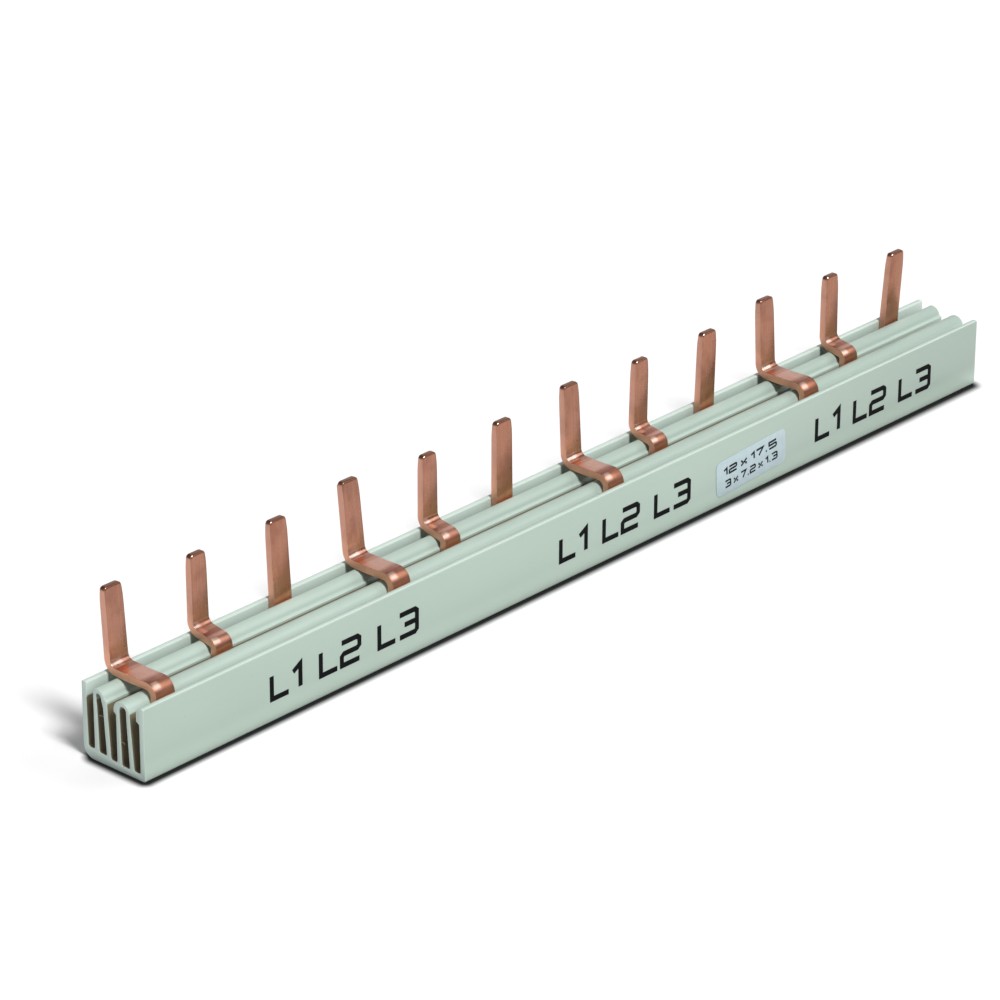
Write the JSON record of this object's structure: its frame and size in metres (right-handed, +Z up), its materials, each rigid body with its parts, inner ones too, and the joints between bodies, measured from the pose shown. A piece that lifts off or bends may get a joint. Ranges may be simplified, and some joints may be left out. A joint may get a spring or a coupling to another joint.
{
  "type": "comb busbar",
  "caption": "Three-phase pin-type comb busbar: an extruded insulating profile with three copper combs whose tabs end in one row above it.",
  "frame": {"origin": "centre of the flat underside of the insulating profile", "axes": "+X along the length from the end next to the first tab, +Y from the front face to the rear face below the tabs, +Z up along the tabs"},
  "size_m": [0.21, 0.0144, 0.0275],
  "materials": {
    "insulation": "satin",
    "copper": "satin",
    "label": "satin"
  },
  "bodies": {
    "root": {"insulating_profile": "insulation", "comb_l1": "copper", "comb_l2": "copper", "comb_l3": "copper", "label": "label"}
  },
  "joints": []
}
